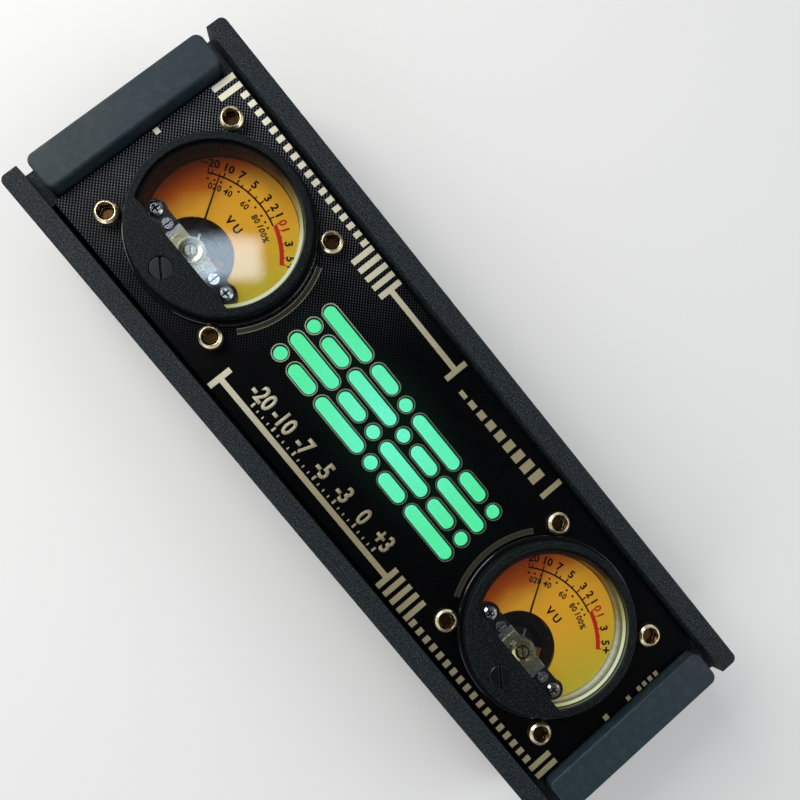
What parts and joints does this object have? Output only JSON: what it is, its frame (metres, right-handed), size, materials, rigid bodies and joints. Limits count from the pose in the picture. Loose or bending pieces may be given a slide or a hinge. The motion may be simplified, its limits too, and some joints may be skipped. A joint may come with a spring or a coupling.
{
  "type": "stereo vu meter unit",
  "caption": "Long black housing with a recessed panel, round moving-coil level meters on it and a lit window pattern between them.",
  "frame": {"origin": "on the surface under the rubber feet, below the middle of the unit", "axes": "+X along the housing, +Y up on the dials, +Z out of the front panel"},
  "size_m": [0.197, 0.0634, 0.0344],
  "materials": {
    "rail_paint": "speckled powder coat",
    "cap_paint": "smooth matte",
    "cover_metal": "matte black sheet",
    "screw_dark": "black oxide",
    "foot_rubber": "soft black rubber",
    "panel_board": "black solder mask over woven glass board",
    "diffuser_green": "milky, lit green from behind",
    "screw_gold": "gold plated",
    "spacer_brass": "turned brass",
    "clamp_black": "black acrylic sheet",
    "circuit_board": "green solder mask",
    "led_white": "white LED package",
    "chip_black": "moulded epoxy",
    "socket_metal": "stamped steel",
    "socket_black": "moulded",
    "trimmer_blue": "moulded",
    "rotor_white": "moulded",
    "case_black": "glossy black moulding",
    "bezel_black": "fine matte black moulding",
    "lens_clear": "clear acrylic",
    "dial_print": "printed translucent dial, lit amber",
    "light_guide_clear": "clear acrylic",
    "movement_cast": "black moulded frame with posts",
    "yoke_iron": "soft iron ring",
    "magnet_grey": "sintered magnet",
    "bridge_bright": "bright stamped bar",
    "screw_bright": "bright plated",
    "jewel_brass": "turned brass",
    "zero_arm_bright": "bright stamped strip",
    "zero_screw_black": "moulded, slotted",
    "coil_copper": "enamelled copper winding",
    "pointer_dark": "dark painted blade",
    "spring_bronze": "phosphor bronze strip",
    "terminal_brass": "turned brass studs and nuts"
  },
  "bodies": {
    "unit": {"housing_frame": "rail_paint", "end_caps": "cap_paint", "bottom_cover": "cover_metal", "cover_screws": "screw_dark", "end_cap_screws": "screw_dark", "rubber_feet": "foot_rubber", "front_panel": "panel_board", "window_diffuser": "diffuser_green", "panel_screws": "screw_gold", "panel_spacers": "spacer_brass", "panel_standoffs": "spacer_brass", "meter_clamps": "clamp_black", "led_board": "circuit_board", "led_chips": "led_white", "board_pillars": "spacer_brass", "driver_board": "circuit_board", "driver_chips": "chip_black", "usb_socket": "socket_metal", "audio_socket": "socket_black", "trimmer_bodies": "trimmer_blue", "left_case": "case_black", "left_bezel": "bezel_black", "left_lens": "lens_clear", "left_dial": "dial_print", "left_light_guide": "light_guide_clear", "left_lamp_board": "circuit_board", "left_movement_plate": "movement_cast", "left_yoke": "yoke_iron", "left_magnet": "magnet_grey", "left_front_bridge": "bridge_bright", "left_bridge_screws": "screw_bright", "left_jewel_screws": "jewel_brass", "left_rear_hairspring": "spring_bronze", "left_terminals": "terminal_brass", "right_case": "case_black", "right_bezel": "bezel_black", "right_lens": "lens_clear", "right_dial": "dial_print", "right_light_guide": "light_guide_clear", "right_lamp_board": "circuit_board", "right_movement_plate": "movement_cast", "right_yoke": "yoke_iron", "right_magnet": "magnet_grey", "right_front_bridge": "bridge_bright", "right_bridge_screws": "screw_bright", "right_jewel_screws": "jewel_brass", "right_rear_hairspring": "spring_bronze", "right_terminals": "terminal_brass"},
    "left_needle": {"left_pointer": "pointer_dark", "left_moving_coil": "coil_copper"},
    "left_regulator": {"left_zero_arm": "zero_arm_bright", "left_front_hairspring": "spring_bronze"},
    "left_zero_adjuster": {"left_zero_screw": "zero_screw_black"},
    "left_trimmer": {"left_trimmer_rotor": "rotor_white"},
    "right_needle": {"right_pointer": "pointer_dark", "right_moving_coil": "coil_copper"},
    "right_regulator": {"right_zero_arm": "zero_arm_bright", "right_front_hairspring": "spring_bronze"},
    "right_zero_adjuster": {"right_zero_screw": "zero_screw_black"},
    "right_trimmer": {"right_trimmer_rotor": "rotor_white"}
  },
  "joints": [
    {"name": "left_needle_swing", "type": "hinge", "parent": "unit", "child": "left_needle", "pos_m": [-0.06098, -0.0088, 0.0285], "axis": [0, 0, -1], "range_deg": [-10, 79], "stiffness_Nm_per_rad": 0.000006},
    {"name": "left_zero_turn", "type": "hinge", "parent": "unit", "child": "left_zero_adjuster", "pos_m": [-0.06098, -0.01661, 0.0335], "axis": [0, 0, 1], "range_deg": [-45, 45]},
    {"name": "left_regulator_swing", "type": "hinge", "parent": "unit", "child": "left_regulator", "pos_m": [-0.06098, -0.0088, 0.031], "axis": [0, 0, 1], "range_deg": [-3.5, 3.5]},
    {"name": "left_trimmer_turn", "type": "hinge", "parent": "unit", "child": "left_trimmer", "pos_m": [-0.024, -0.012, 0.0055], "axis": [0, 0, -1], "range_deg": [-135, 135]},
    {"name": "right_needle_swing", "type": "hinge", "parent": "unit", "child": "right_needle", "pos_m": [0.06098, -0.0088, 0.0285], "axis": [0, 0, -1], "range_deg": [-10, 79], "stiffness_Nm_per_rad": 0.000006},
    {"name": "right_zero_turn", "type": "hinge", "parent": "unit", "child": "right_zero_adjuster", "pos_m": [0.06098, -0.01661, 0.0335], "axis": [0, 0, 1], "range_deg": [-45, 45]},
    {"name": "right_regulator_swing", "type": "hinge", "parent": "unit", "child": "right_regulator", "pos_m": [0.06098, -0.0088, 0.031], "axis": [0, 0, 1], "range_deg": [-3.5, 3.5]},
    {"name": "right_trimmer_turn", "type": "hinge", "parent": "unit", "child": "right_trimmer", "pos_m": [0.024, -0.012, 0.0055], "axis": [0, 0, -1], "range_deg": [-135, 135]}
  ],
  "couplings": [
    {"joint": "left_regulator_swing", "follows": "left_zero_turn", "ratio": -0.0765},
    {"joint": "right_regulator_swing", "follows": "right_zero_turn", "ratio": -0.0765}
  ]
}
